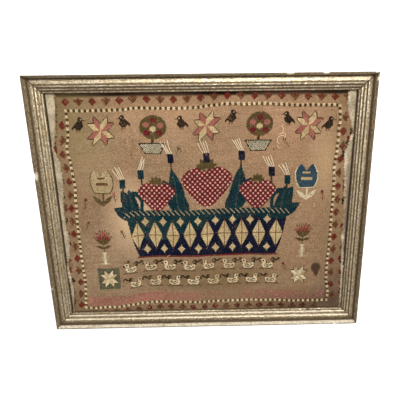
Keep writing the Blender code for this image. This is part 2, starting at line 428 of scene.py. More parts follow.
# How far the checked border strays from its straight line, in mm: place along the side, drift
HEAD_DRIFT = (
    (-240, -3), (-192, -3), (-155, -2), (-110, 1), (-50, -1), (-13, 1), (14, 4), (60, 5), (131, 4),
    (175, 2), (240, 1),
)
FOOT_DRIFT = (
    (-242, -7), (-229, -9), (-172, -8), (-148, -4), (-122, 0), (-96, 2), (-20, 0), (51, 2), (116, 2),
    (181, -1), (243, -1),
)
LEFT_DRIFT = (
    (-198, -5), (-139, -1), (-100, -2), (-50, -3), (-21, -3), (20, -1), (50, 1), (91, -1), (112, -5),
    (121, -5), (141, -1), (172, 1),
)
RIGHT_DRIFT = (
    (-185, 3), (-142, -2), (-114, -2), (-61, 0), (26, 1), (67, 0), (105, 2), (142, 3), (160, 5), (179, 3),
)
chart = {}
random.seed(11)


def stitch_place(column, row):
    """Where the middle of a stitch lies on the linen."""
    x = column * STITCH_ACROSS + CHART_RIGHT
    y = row * STITCH_UP - CHART_DROP
    up = min(max(0.5 + row / (2 * ROWS_OUT), -0.1), 1.1)
    right = min(max(0.5 + column / (2 * COLUMNS_OUT), -0.1), 1.1)
    slid = x + drift(LEFT_DRIFT, y) * (1 - right) + drift(RIGHT_DRIFT, y) * right
    lifted = y + drift(FOOT_DRIFT, x) * (1 - up) + drift(HEAD_DRIFT, x) * up
    pull = noise.noise(Vector((x * 30, y * 30, 5.0))) * 0.0012
    return slid + pull, lifted - pull


def sew(column, row, thread):
    """Charts one stitch, over any that was there."""
    chart[(round(column), round(row))] = thread


THREAD_LETTERS = {"k": "cream", "d": "dark_olive", "r": "madder", "b": "rust", "o": "olive", "x": "umber"}


def sew_motif(rows, column, row, flip=False, quarters=0):
    """Sews a small chart, written from its top row, about a stitch; flipped or turned by quarters."""
    high = len(rows)
    wide = max(len(line) for line in rows)
    for down, line in enumerate(rows):
        for along, letter in enumerate(line):
            if letter == ".":
                continue
            right = along - (wide - 1) // 2
            up = (high - 1) // 2 - down
            if flip:
                right = -right
            for _ in range(quarters):
                right, up = -up, right
            sew(column + right, row + up, THREAD_LETTERS[letter])


def sew_round(column, row, half_wide, half_high, thread, hollow=0.0):
    """A disc or a ring of stitches."""
    for right in range(-int(half_wide) - 1, int(half_wide) + 2):
        for up in range(-int(half_high) - 1, int(half_high) + 2):
            if hollow <= math.hypot(right / half_wide, up / half_high) <= 1.0:
                sew(column + right, row + up, thread)


def sew_leaf(column, row, heading, length, half, thread, vein=None):
    """A pointed leaf that grows from a stitch in a direction given in degrees."""
    angle = math.radians(heading)
    for right in range(-length - 4, length + 5):
        for up in range(-length - 4, length + 5):
            along = (right * math.cos(angle) + up * math.sin(angle)) / length
            across = abs(up * math.cos(angle) - right * math.sin(angle))
            if 0 <= along <= 1 and across <= half * math.sin(math.pi * along ** 0.8) ** 0.85:
                on_vein = vein and across < 0.7 and along < 0.85
                sew(column + right, row + up, vein if on_vein else thread)


# The checked border
# Squares of three by three stitches, cream and dark olive in turn, run all round the field. To the
# right and on the right half of the head the cream ones stand a stitch further out.
IN_RIGHT, IN_HEAD = COLUMNS_OUT - 3, ROWS_OUT - 3
for column in range(-COLUMNS_OUT, COLUMNS_OUT + 1):
    for row in range(-ROWS_OUT, ROWS_OUT + 1):
        if abs(column) > IN_RIGHT or abs(row) > IN_HEAD:
            odd = ((column + COLUMNS_OUT) // 3 + (row + ROWS_OUT) // 3) % 2
            out_right = int(column > IN_RIGHT and abs(row) < IN_HEAD and not odd)
            out_up = int(row > IN_HEAD and 20 < column < IN_RIGHT and not odd)
            sew(column + out_right, row + out_up, "border_olive" if odd else "cream")


# The strawberry border
# Outside the checks, red berries and brown winged lozenges take turns, all pointing inwards.
# A second row stood outside the first, and the cut sides of the linen leave only bits of it.
BORDER_BERRY = (
    "...brb...",
    "..rrrrr..",
    ".rrrrrrr.",
    "brrrrrrrr",
    ".rrrrrrrb",
    "..rrrrr..",
    "...rrr...",
    "....r....",
)
BORDER_LOZENGE = (
    "....brb....",
    ".b.bbbbb.b.",
    "bbbbbrbbbbb",
    ".bbbrrrbbb.",
    "..bbbbbob..",
    "...bbobb...",
    "....bbb....",
    "...b.b.....",
)
# What is left of the second row at the raw edges: side, height in mm, stitches high and deep, thread
EDGE_BITS = (
    (-1, 119.8, 9, 3, "madder"), (-1, 59.7, 7, 2, "umber"), (-1, 31.5, 5, 2, "umber"),
    (-1, 12.3, 9, 4, "rust"), (-1, -11.1, 7, 2, "umber"), (-1, -38.9, 5, 2, "dark_olive"),
    (-1, -59.2, 5, 2, "umber"), (-1, -92.1, 5, 3, "rust"), (-1, -113.1, 9, 3, "madder"),
    (-1, -134.5, 6, 4, "umber"), (-1, -158.5, 8, 2, "umber"), (-1, -180.6, 8, 2, "dark_olive"),
    (1, 139.1, 7, 3, "umber"), (1, 129, 5, 4, "scarlet"), (1, 112.4, 6, 2, "rust"),
    (1, 42.2, 13, 2, "madder"), (1, 11.4, 9, 3, "umber"), (1, -36.1, 6, 3, "madder"),
    (1, -81.2, 6, 2, "umber"), (1, -108.6, 8, 3, "umber"), (1, -103, 6, 4, "scarlet"),
    (1, -132.1, 7, 3, "scarlet"), (1, -154, 6, 3, "madder"), (1, -178, 6, 2, "umber"),
    (1, 121.6, 4, 4, "dark_olive"), (1, 105.2, 4, 3, "umber"), (1, 98.4, 4, 4, "dark_olive"),
    (1, 91, 4, 2, "rust"),
)
# Short stubs of it dot the upper left edge and the lower right one
for place in range(13):
    stub = ("umber", "rust", "dark_olive")[place % 3]
    EDGE_BITS += ((-1, 197 - 6.1 * place, 3, 1 + place % 2, stub), (1, -70 - 8.3 * place, 2, 2, stub))
IN_TURN = (BORDER_BERRY, BORDER_LOZENGE)
for place, column in enumerate(range(-153, 165, 15)):
    sew_motif(IN_TURN[place % 2], column, ROWS_OUT + 8)
for place, column in enumerate(range(-143, 150, 14)):
    sew_motif(IN_TURN[1 - place % 2], column, -ROWS_OUT - 6, quarters=2)
for place, row in enumerate(range(99, -115, -15)):
    sew_motif(IN_TURN[place % 2], -COLUMNS_OUT - 5, row, quarters=1)
for place, row in enumerate(range(102, -115, -15)):
    sew_motif(IN_TURN[1 - place % 2], COLUMNS_OUT + 5, row, quarters=3)
# The foot of the outer border has soaked up soot, most of all to the right, and lost some wool
for column, row in [cell for cell in chart if cell[1] < -ROWS_OUT]:
    fate = random.random()
    if fate < 0.14:
        del chart[(column, row)]
    elif fate < (0.50 if column > 30 else 0.28):
        sew(column, row, "umber")
for side, height, high, deep, thread in EDGE_BITS:
    middle_row = round((height * MM + CHART_DROP) / STITCH_UP)
    for up in range(high):
        row = middle_row - high // 2 + up
        outermost = COLUMNS_OUT
        while True:
            x, y = stitch_place(side * (outermost + 1), row)
            left, right = linen_sides(y)
            if not left + 0.0012 < x < right - 0.0012:
                break
            outermost += 1
        for inwards in range(deep - (up in (0, high - 1))):
            sew(side * (outermost - inwards), row, thread)


# The basket of strawberries
# The middle of the field holds a wide basket of lozenge panes in teal that turns to navy where the
# dye lot changed, three great strawberries with pale seeds, teal leaves, and tall navy or teal buds.
MIDDLE = 3
BASKET_HIGH = 50


def sew_berry(column, tip, high, half):
    """A strawberry with its tip down and rows of paired seeds."""
    for up in range(high + 1):
        share = up / high
        if share < 0.66:
            reach = half * (share / 0.66) ** 0.62
        else:
            reach = half * math.sqrt(max(1 - ((share - 0.66) / 0.36) ** 2, 0))
        for right in range(-int(reach), int(reach) + 1):
            if share > 0.86 and abs(right) < half * 0.9 * (share - 0.86):
                continue
            seed = up % 3 < 2 and (right + 3 * (up // 3 % 2)) % 6 in (0, 1)
            sew(column + right, tip + up, "seed_pink" if seed else "scarlet")


def sew_pane(column, row, half_wide, half_high, bar):
    """A lozenge pane, with or without a crossing bar."""
    for right in range(-int(half_wide), int(half_wide) + 1):
        for up in range(-int(half_high), int(half_high) + 1):
            if abs(right) / half_wide + abs(up) / half_high <= 1:
                sew(column + right, row + up, bar if bar and (right == 0 or up == 0) else "pane_cream")


for column, high in ((-97, 30), (-74, 38), (-38, 56), (44, 56), (80, 38), (98, 30)):
    for up in range(-4, high):
        for right in (0, 1):
            sew(column + (right if column < 0 else -right), up, "dark_olive")
for side in (-1, 1):
    sew_round(MIDDLE + side * 88, 8, 13, 17, "teal", 0.66)
for column, heading, length, half in (
    (-87, 150, 28, 7), (-83, 120, 38, 9), (-87, 100, 34, 7), (-23, 125, 52, 11), (-33, 98, 56, 10),
):
    sew_leaf(MIDDLE + column, -6, heading, length, half, "teal", "slate")
    sew_leaf(MIDDLE - column, -6, 180 - heading, length, half, "teal", "slate")
for column, tip, high, half, crown in ((-60, 0, 34, 22, 9), (60, 0, 34, 22, 9), (0, 4, 46, 31, 13)):
    sew_berry(MIDDLE + column, tip, high, half)
    for heading in (20, 55, 90, 125, 160):
        sew_leaf(MIDDLE + column, tip + high - 2, heading, crown, crown * 0.26, "olive")
for up in range(BASKET_HIGH):
    reach = int(84 + 13 * (up / BASKET_HIGH) ** 0.7)
    for column in range(MIDDLE - reach, MIDDLE + reach + 1):
        row = up - 53
        lot_edge = -36 + 26 / (1 + math.exp(-(column + 18) / 16))
        lot_edge += 2.2 * math.sin(column / 7.3) + 1.4 * math.sin(column / 3.1)
        sew(column, row, "navy" if row < lot_edge else "teal")
for place in range(-4, 5):
    sew_pane(MIDDLE + place * 21, -28, 8.2, 17, "rust")
for place in range(-4, 4):
    sew_pane(MIDDLE + 10 + place * 21, -12, 4.2, 5.2, None)
    sew_pane(MIDDLE + 10 + place * 21, -45, 4.2, 5.2, None)
for column in range(MIDDLE - 99, MIDDLE + 100):
    for up in range(6):
        sew(column, up - 4, "pane_cream" if (column + up) % 6 == 0 else "teal")
for column in range(MIDDLE - 86, MIDDLE + 87):
    for row in (-55, -54):
        sew(column, row, "madder")
# The buds, which long rays are laid over later: column, row, lean of the rays, thread
BUDS = (
    (-97, 36, 1.0, "teal"), (-74, 44, -0.7, "teal"), (-38, 62, 1.0, "navy"), (3, 61, 0.8, "navy"),
    (44, 62, 1.0, "navy"), (80, 44, 1.0, "navy"), (98, 36, 1.0, "teal"),
)
for column, row, lean, thread in BUDS:
    for right in range(-3, 4):
        for up in range(-6, 4):
            sew(column + right, row + up, thread)


# The head row
# Pinwheel stars and little fruit trees in lattice pots stand in a row, with small dark birds.


def sew_star(column, row, petal, first, second, edge):
    """A star of eight lozenges in two colours, with an edge all round."""
    cells = set()
    for right in range(-2 * petal, 2 * petal + 1):
        for up in range(-2 * petal, 2 * petal + 1):
            high, low = max(abs(right), abs(up)), min(abs(right), abs(up))
            if low <= petal and high - low <= petal:
                cells.add((column + right, row + up))
                one = (abs(right) > abs(up)) == (right * up >= 0)
                sew(column + right, row + up, first if one else second)
    for at_column, at_row in sorted(cells):
        for right, up in ((1, 0), (-1, 0), (0, 1), (0, -1)):
            if (at_column + right, at_row + up) not in cells:
                sew(at_column + right, at_row + up, edge)


def sew_fruit_tree(column, row):
    """A round tree with six fruits, in a pot of slate and ivory lattice."""
    for up in range(12):
        reach = 9 + up * 0.62
        for right in range(-int(reach), int(reach) + 1):
            edge = abs(right) > reach - 1.3 or up in (0, 11)
            lattice = "slate" if (right + up) % 2 else "ivory"
            sew(column + right, row - 20 + up, "umber" if edge else lattice)
    for up in range(-9, -3):
        for right in (-1, 0, 1):
            sew(column + right, row + up, "dark_olive")
    sew_round(column, row + 8, 15, 13, "olive")
    fruits = (
        (0, 15, "scarlet"), (-8, 10, "rose"), (8, 10, "rose"), (0, 6, "pane_cream"), (-7, 2, "scarlet"),
        (7, 2, "scarlet"),
    )
    for right, up, thread in fruits:
        sew_round(column + right, row + up, 3.2, 3.0, thread)


BIRD = (
    "......xxx........",
    ".....xxxxx.......",
    "....xxkxxx.......",
    ".bbbxxxxxx.......",
    ".....xxxxxx......",
    ".....xxxxxxx.....",
    ".....xxxxxxxx....",
    "....xxxxxxxxxx...",
    "....xxxxxxxxxxx..",
    "....xxxxxxxxxxxx.",
    ".....xxxxxxxxxxxx",
    "......xxxxxxx..xx",
    ".......xxxxx....x",
    "........b..b.....",
    ".......bb.bb.....",
)
for column in (-116, 3, 119):
    sew_star(column, 93, 7, "rose", "pane_cream", "umber")
for column in (-57, 63):
    sew_fruit_tree(column, 86)
for column, row, flip in (
    (-140, 100, True), (-91, 101, False), (-26, 99, False), (32, 101, True), (94, 100, False),
    (142, 95, True),
):
    sew_motif(BIRD, column, row, flip)


# The side flowers
# A tall tulip stands on each side over a carnation in an urn, among loose sprigs. A sage square
# with a star and a star on the bare linen fill the two lower corners.


def sew_tulip(column, row, body, edge, stripe):
    """A tulip with two bars across it, on a stem with a pair of leaves."""
    for up in range(26):
        share = up / 25
        reach = 14 * math.sin(math.pi * (0.18 + 0.62 * share)) ** 0.7
        for right in range(-int(reach + 1), int(reach + 1) + 1):
            notch = share > 0.72 and abs(abs(right) - 7) > 7 - (share - 0.72) * 18
            if abs(right) > reach or notch:
                continue
            rim = abs(right) > reach - 1.4 or up == 0
            bar = (up in (9, 10, 11) and abs(right) < 7) or (up in (16, 17) and abs(right) < 5)
            sew(column + right, row + up, edge if rim else (stripe if bar else body))
    for up in range(-14, 0):
        for right in (0, 1):
            sew(column + right, row + up, edge)
    for heading in (40, 140):
        sew_leaf(column, row - 13, heading, 15, 2.6, edge)


def sew_carnation(column, row):
    """A fan of petals over a stem with two pairs of leaves."""
    for ray in range(-6, 7):
        angle = math.radians(90 + ray * 12.5)
        far = 13.5 - 0.10 * ray * ray + (1.8 if ray % 2 else 0)
        for step in range(4, int(far * 2)):
            reach = step / 2
            thread = "madder" if ray % 2 or reach > far - 2 else "crimson"
            sew(column + reach * math.cos(angle), row + reach * math.sin(angle) * 0.9, thread)
    sew_round(column, row + 1, 3.4, 3.2, "olive")
    for up in range(-13, 0):
        sew(column, row + up, "olive")
    for heading, low, length in ((35, -4, 12), (145, -4, 12), (20, -9, 10), (160, -9, 10)):
        sew_leaf(column, row + low, heading, length, 1.7, "olive")


def sew_urn(column, row):
    """A pale turned urn on a foot."""
    for up in range(15):
        reach = 6 if up < 2 else 5 - 3.2 * abs(math.sin(math.pi * (up / 14 * 1.6 + 0.15)))
        for right in range(-round(reach), round(reach) + 1):
            sew(column + right, row + up, "ivory" if abs(right) < 2 else "pale_flax")


def sew_sprig(column, row, heading, length, stem, flower):
    """A thin stem with pairs of buds and one round flower."""
    angle = math.radians(heading)
    along_x, along_y = math.cos(angle), math.sin(angle)
    for step in range(length):
        sew(column + step * along_x, row + step * along_y, stem)
        if step % 4 == 2:
            for side in (-2, 2):
                sew(column + step * along_x - side * along_y, row + step * along_y + side * along_x, stem)
    sew_round(column + length * along_x, row + length * along_y, 1.6, 1.6, flower)


sew_tulip(121, 26, "slate_blue", "ivory", "pane_cream")
sew_tulip(-121, 26, "pale_flax", "olive", "rust")
for column, row in ((-124, -30), (120, -28)):
    sew_carnation(column, row)
    sew_urn(column, row - 28)
for column in range(-135, -108):
    for row in range(-90, -63):
        sew(column, row, "sage")
sew_star(-122, -77, 5, "pane_cream", "ivory", "dark_olive")
sew_star(118, -80, 5, "pale_flax", "ivory", "olive")
for sprig in (
    (-143, 8, 80, 11, "rust", "madder"), (-106, 16, 100, 9, "rust", "rose"),
    (-142, -16, 70, 8, "olive", "rust"), (-98, -28, 110, 9, "dark_olive", "rust"),
    (98, 46, 60, 8, "pale_flax", "pale_flax"), (141, 12, 95, 9, "madder", "scarlet"),
    (98, 70, 120, 9, "rust", "umber"), (-30, 66, 60, 7, "rust", "umber"),
    (101, -74, 110, 8, "rust", "madder"), (-100, -62, 45, 6, "umber", "olive"),
):
    sew_sprig(*sprig)


# The ducks
# Two rows of small cream ducks with dark olive marks swim under the basket, over ripples and
# between tufts of dark olive rushes.
DUCK = (
    "...kkkk.............",
    "..kkddkk.........dd.",
    "ddbkddkkd.......ddd.",
    "ddbkkkkkd......dddd.",
    "....kkkkdd....kkkdd.",
    "...dkkkkkkkkkkkkkk..",
    "...kkkddddkkkddkkd..",
    "...kkkkkkdddkkddk...",
    "...dkkddkkkkddkkk...",
    "....kkkkddddkkkk....",
    "....dkkkkkkkkkkd....",
    "..dd..dd..dd..dd....",
    "dd..dd..dd..dd..dd..",
)
TUFT = (
    "..ddd....ddd.",
    ".ddddd..ddddd",
    "dd..ddddddd..",
    "d....dddd...d",
)
for row, shift, flip, tuft_right, tuft_up in ((-67, -3, False, 11, 7), (-86, 3, True, -11, 6)):
    for place in range(8):
        column = round(-91 + place * 24.5) + shift
        sew_motif(DUCK, column, row, flip)
        sew_motif(TUFT, column + tuft_right, row + tuft_up)


# The foot band
# A thick lattice of small diamonds in a pink that has nearly faded away, most of all in its middle.
for column in range(-149, 150):
    fade = math.exp(-(((column - 12) / 44.0) ** 2)) + 0.6 * math.exp(-(((column - 128) / 22.0) ** 2))
    keep = 1.0 - 0.74 * fade - 0.26 * (column > 20)
    for up in range(-5, 6):
        on_line = (column + up) % 6 in (0, 1, 2) or (column - up) % 6 in (0, 1)
        if on_line and random.random() < keep:
            sew(column, -106 + up, "faded_rose")


# The cross stitches
# Each stitch is two crossed legs of loosely spun wool, pinched where they go through the linen. The
# under leg is pressed wide and flat by the one that is pulled over it.
# The stitches of one thread are one piece. A few have worn away, and no two pull quite alike.
LEG_LENGTH = math.hypot(STITCH_ACROSS, STITCH_UP) * 1.04
# The stitches that lie further up or down than this, in metres, are hidden under the frame
UNDER_FRAME = 0.2155


def sew_leg(shape, heading, lift, rings, half_wide, flatness):
    """One leg: a three-sided spindle, pinched at both ends and plump at its rings."""
    bmesh.ops.create_cone(
        shape, segments=3, radius1=half_wide, radius2=half_wide, depth=LEG_LENGTH, cap_ends=False
    )
    leg = [vertex for vertex in shape.verts if not vertex.tag]
    long_edges = {
        edge for vertex in leg for edge in vertex.link_edges if edge.calc_length() > LEG_LENGTH / 2
    }
    bmesh.ops.subdivide_edges(shape, edges=list(long_edges), cuts=rings)
    for end in (-1, 1):
        rim = [vertex for vertex in shape.verts if not vertex.tag and vertex.co.z * end > LEG_LENGTH * 0.45]
        bmesh.ops.pointmerge(shape, verts=rim, merge_co=(0, 0, end * LEG_LENGTH / 2))
    leg = [vertex for vertex in shape.verts if not vertex.tag]
    for vertex in leg:
        vertex.tag = True
        vertex.co.z *= 1.55 if abs(vertex.co.z) < LEG_LENGTH * 0.3 else 1.0
    turn = Matrix.Rotation(math.radians(heading), 4, "Z") @ Matrix.Rotation(math.radians(90), 4, "Y")
    bmesh.ops.transform(shape, matrix=turn, verts=leg)
    bmesh.ops.scale(shape, vec=(1, 1, flatness), verts=leg)
    for vertex in leg:
        if len(vertex.link_edges) > 3:
            vertex.co.z += lift
        for face in vertex.link_faces:
            face.smooth = rings > 1


cross_shape = bmesh.new()
leg_heading = math.degrees(math.atan2(STITCH_UP, STITCH_ACROSS))
sew_leg(cross_shape, -leg_heading, 0.10 * MM, 1, 1.25 * MM, 0.40)
sew_leg(cross_shape, leg_heading, 0.34 * MM, 2, 0.76 * MM, 0.62)
bmesh.ops.recalc_face_normals(cross_shape, faces=cross_shape.faces)
cross_mesh = bpy.data.meshes.new("cross_pattern")
cross_shape.to_mesh(cross_mesh)
cross_shape.free()
cross_pattern = bpy.data.objects.new("cross_pattern", cross_mesh)
bpy.context.scene.collection.objects.link(cross_pattern)

sewing = bpy.data.node_groups.new("sewing", "GeometryNodeTree")
sewing.interface.new_socket("Geometry", in_out="INPUT", socket_type="NodeSocketGeometry")
sewing.interface.new_socket("Geometry", in_out="OUTPUT", socket_type="NodeSocketGeometry")
holes_in = sewing.nodes.new("NodeGroupInput")
sewn_out = sewing.nodes.new("NodeGroupOutput")
pattern = sewing.nodes.new("GeometryNodeObjectInfo")
pattern.inputs["Object"].default_value = cross_pattern
pattern.inputs["As Instance"].default_value = True
lay_stitches = sewing.nodes.new("GeometryNodeInstanceOnPoints")
realise = sewing.nodes.new("GeometryNodeRealizeInstances")
sewing.links.new(holes_in.outputs[0], lay_stitches.inputs["Points"])
sewing.links.new(pattern.outputs["Geometry"], lay_stitches.inputs["Instance"])
for stored, socket in (("turn", "Rotation"), ("size", "Scale")):
    of_each = sewing.nodes.new("GeometryNodeInputNamedAttribute")
    of_each.data_type = "FLOAT_VECTOR"
    of_each.inputs["Name"].default_value = stored
    sewing.links.new(of_each.outputs["Attribute"], lay_stitches.inputs[socket])
sewing.links.new(lay_stitches.outputs["Instances"], realise.inputs["Geometry"])
sewing.links.new(realise.outputs["Geometry"], sewn_out.inputs[0])


def wool(name, main, other, dusty):
    """A wool thread in two dye lots, with each stitch a little lighter or darker."""
    finish, shader = new_finish(name, 0.85)
    shader.inputs["Specular IOR Level"].default_value = 0.12
    lot = add_node(finish, "ShaderNodeAttribute", attribute_name="lot").outputs["Fac"]
    shade = add_node(finish, "ShaderNodeAttribute", attribute_name="shade").outputs["Fac"]
    tone = mixed(finish, lot, to_linear(*main), to_linear(*other))
    light = ranged(finish, shade, 0.0, 1.0, 0.55, 1.45)
    dust = noisy(finish, scaled_place(finish), 2600.0, 2.0, low=0.50, high=0.80)
    tone = glazed(finish, tone, dust, dusty, (150, 122, 94))
    grey = add_node(finish, "ShaderNodeCombineColor", {0: light, 1: light, 2: light}).outputs[0]
    tone = mixed(finish, 1.0, tone, grey, "MULTIPLY")
    coloured(finish, shader, tone)
    twist = noisy(finish, scaled_place(finish, (1.0, 0.35, 1.0), 45), 4200.0, 1.0)
    raised(finish, shader, twist, 0.00012, 0.5)
    return finish


# Each thread: its two lots, the share of its stitches that has worn away, and how dusty it is
THREADS = {
    "cream": ((250, 230, 192), (232, 206, 164), 0.02, 0.1),
    "border_olive": ((112, 86, 42), (74, 56, 26), 0.02, 0.14),
    "dark_olive": ((50, 41, 20), (72, 56, 28), 0.03, 0.15),
    "madder": ((130, 40, 34), (118, 56, 42), 0.03, 0.2),
    "scarlet": ((126, 28, 38), (112, 30, 38), 0.01, 0.08),
    "crimson": ((168, 44, 56), (182, 76, 78), 0.04, 0.15),
    "seed_pink": ((250, 204, 188), (236, 180, 164), 0.03, 0.05),
    "rust": ((112, 66, 42), (128, 80, 52), 0.06, 0.22),
    "teal": ((2, 48, 60), (6, 58, 62), 0.002, 0.03),
    "navy": ((3, 14, 42), (8, 24, 54), 0.002, 0.03),
    "rose": ((192, 122, 106), (178, 104, 94), 0.03, 0.2),
    "faded_rose": ((204, 128, 116), (180, 116, 102), 0.08, 0.2),
    "olive": ((88, 76, 42), (108, 88, 50), 0.04, 0.2),
    "sage": ((108, 108, 82), (98, 98, 76), 0.02, 0.2),
    "slate": ((40, 66, 68), (56, 80, 76), 0.02, 0.15),
    "slate_blue": ((44, 78, 98), (58, 90, 102), 0.004, 0.1),
    "umber": ((42, 32, 22), (58, 44, 30), 0.03, 0.15),
    "ivory": ((248, 234, 200), (232, 212, 172), 0.03, 0.1),
    "pane_cream": ((232, 208, 158), (208, 182, 132), 0.02, 0.2),
    "pale_flax": ((214, 192, 148), (196, 172, 130), 0.05, 0.25),
}


def make_sewn(name, maker, finish):
    """Turns what an object makes with its modifiers or bevel into a sewn piece, and drops the object."""
    bpy.context.scene.collection.objects.link(maker)
    graph = bpy.context.evaluated_depsgraph_get()
    mesh = bpy.data.meshes.new_from_object(
        maker.evaluated_get(graph), preserve_all_data_layers=True, depsgraph=graph
    )
    bpy.data.objects.remove(maker)
    mesh.materials.clear()
    mesh.materials.append(finish)
    piece = bpy.data.objects.new(name, mesh)
    bpy.context.scene.collection.objects.link(piece)
    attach(piece, "root")


random.seed(29)
for thread, (main, other, worn, dusty) in THREADS.items():
    holes = bmesh.new()
    turn_layer = holes.verts.layers.float_vector.new("turn")
    size_layer = holes.verts.layers.float_vector.new("size")
    shade_layer = holes.verts.layers.float.new("shade")
    lot_layer = holes.verts.layers.float.new("lot")
    for column, row in sorted(cell for cell, sewn_with in chart.items() if sewn_with == thread):
        x, y = stitch_place(column, row)
        left, right = linen_sides(y)
        worn_away = random.random() < worn
        turn = Vector((random.gauss(0, 0.04), random.gauss(0, 0.04), random.gauss(0, 0.05)))
        shade = min(max(random.gauss(0.5, 0.17), 0.0), 1.0)
        size = random.gauss(1.0, 0.04)
        on_linen = abs(y) <= UNDER_FRAME and left + 0.001 < x < right - 0.001
        if worn_away or not on_linen:
            continue
        hole = holes.verts.new((x, y, linen_top(x, y) + 0.00004))
        hole[turn_layer] = turn
        hole[size_layer] = Vector((size, size, random.uniform(0.85, 1.15)))
        hole[shade_layer] = shade
        lot = noise.noise(Vector((x * 14, y * 60, 2.0))) * 1.1 + 0.5
        hole[lot_layer] = min(max(lot + random.gauss(0, 0.08), 0.0), 1.0)
    holes_mesh = bpy.data.meshes.new(thread + "_holes")
    holes.to_mesh(holes_mesh)
    holes.free()
    holes_object = bpy.data.objects.new(thread + "_holes", holes_mesh)
    holes_object.modifiers.new("sewing", "NODES").node_group = sewing
    make_sewn(thread + "_stitches", holes_object, wool(thread + "_wool", main, other, dusty))
bpy.data.objects.remove(cross_pattern)


# The long straight stitches and the frayed edges
# Single threads laid over many threads of the linen make the rays above small navy and teal buds.
# The raw sides have frayed to a soft pale fringe, and a few ends of wool hang loose.
FRINGE_STRANDS = 420

# The frayed strands reach no further out than this, in metres
FRAY_LIMIT = 0.2735


def lay_threads(name, strands, half_wide, finish):
    """Fine threads along rows of points, joined as one piece."""
    path = bpy.data.curves.new(name, "CURVE")
    path.dimensions = "3D"
    path.bevel_depth = half_wide
    path.bevel_resolution = 0
    path.use_fill_caps = True
    for strand in strands:
        line = path.splines.new("POLY")
        line.points.add(len(strand) - 1)
        for point, place in zip(line.points, strand):
            point.co = (*place, 1.0)
    make_sewn(name, bpy.data.objects.new(name, path), finish)


def plain_thread(name, colour):
    """A matt thread of one colour."""
    finish, shader = new_finish(name, 0.9)
    shader.inputs["Base Color"].default_value = to_linear(*colour)
    shader.inputs["Specular IOR Level"].default_value = 0.12
    return finish


def over_linen(x, y, lift):
    """A point a little above the linen, in metres."""
    return x, y, linen_top(x, y) + lift


def edge_strand(side, edge, y, reach):
    """One strand of the raw edge, from inside the linen to past its side."""
    start = edge - side * random.uniform(0.0003, 0.0030)
    slide = random.gauss(0, 0.0025)
    lift = random.uniform(0.00015, 0.0009)
    strand = []
    for share in (0.0, 0.3, 0.65, 1.0):
        x = start + side * (abs(start - edge) + reach) * share
        x = max(-FRAY_LIMIT, min(FRAY_LIMIT, x))
        strand.append(over_linen(x, y + slide * share * share, lift * (1 - abs(share - 0.5))))
    return strand


# Where the edge has frayed to a pale tuft: side, height and spread in mm, strands
PALE_TUFTS = (
    (-1, 96.0, 16.0, 60), (-1, 40.0, 22.0, 50), (-1, -70.0, 20.0, 50), (-1, -128.0, 12.0, 70),
    (-1, -168.0, 14.0, 40), (1, 198.0, 6.0, 60), (1, 127.0, 4.0, 40), (1, 86.0, 14.0, 130),
    (1, 30.0, 20.0, 50), (1, -60.0, 5.0, 50), (1, -120.0, 26.0, 90), (1, -180.0, 16.0, 60),
)
# Ends of wool that have come loose, in mm and degrees: place, length, heading, bend
LOOSE_ENDS = (
    (139.0, 152.0, 22.0, 330.0, -150.0), (146.0, 133.0, 26.0, 150.0, 170.0),
    (141.0, 139.0, 16.0, 10.0, -160.0), (134.0, 118.0, 10.0, 250.0, 130.0),
    (-70.0, -92.0, 8.0, 200.0, 40.0), (205.0, 8.0, 7.0, 300.0, -50.0), (-236.0, -40.0, 9.0, 80.0, 60.0),
    (238.0, 60.0, 10.0, 100.0, -50.0),
)

random.seed(37)
rays = []
for column, row, lean, thread in BUDS:
    for ray in range(4):
        foot_x, foot_y = stitch_place(column - 3 + ray * 1.9, row + 4)
        head_x = foot_x - lean * (0.012 - ray * 0.0016) + random.uniform(-0.0012, 0.0012)
        head_y = foot_y + 0.021 + random.uniform(-0.004, 0.004)
        sag = random.uniform(-0.0016, 0.0016)
        strand = []
        for share in (0.0, 0.12, 0.3, 0.5, 0.7, 0.88, 1.0):
            x = foot_x + (head_x - foot_x) * share + sag * share * (1 - share) * 4
            y = foot_y + (head_y - foot_y) * share
            strand.append(over_linen(x, y, 0.0002 + 0.0006 * share * (1 - share) * 4))
        rays.append(strand)
lay_threads("straight_stitches", rays, 0.00042, plain_thread("ray_wool", (244, 230, 200)))

random.seed(43)
fringe, tufts, loose_wool = [], [], []
for side in (-1, 1):
    for strand in range(FRINGE_STRANDS):
        y = random.uniform(-0.214, 0.214)
        edge = linen_sides(y)[0 if side < 0 else 1]
        ragged = 0.5 + noise.noise(Vector((side * 3, y * 60, 8.0)))
        fringe.append(edge_strand(side, edge, y, abs(random.gauss(0.0010, 0.0009)) * (0.5 + ragged)))
for side, height, spread, strands in PALE_TUFTS:
    for step in range(strands):
        y = (height + random.gauss(0, spread)) * MM
        edge = linen_sides(y)[0 if side < 0 else 1]
        tufts.append(edge_strand(side, edge, y, abs(random.gauss(0.0024, 0.0014))))
for x, y, length, heading, bend in LOOSE_ENDS:
    strand = [over_linen(x * MM, y * MM, 0.0004)]
    for step in range(12):
        angle = math.radians(heading + bend * step / 11)
        x += length / 12 * math.cos(angle)
        y += length / 12 * math.sin(angle)
        strand.append(over_linen(x * MM, y * MM, 0.0005))
    loose_wool.append(strand)
lay_threads("frayed_edges", fringe, 0.00022, plain_thread("frayed_linen", (176, 148, 116)))
lay_threads("pale_tufts", tufts, 0.00026, plain_thread("bleached_linen", (206, 194, 168)))
lay_threads("loose_ends", loose_wool, 0.00036, plain_thread("loose_wool", (236, 214, 180)))
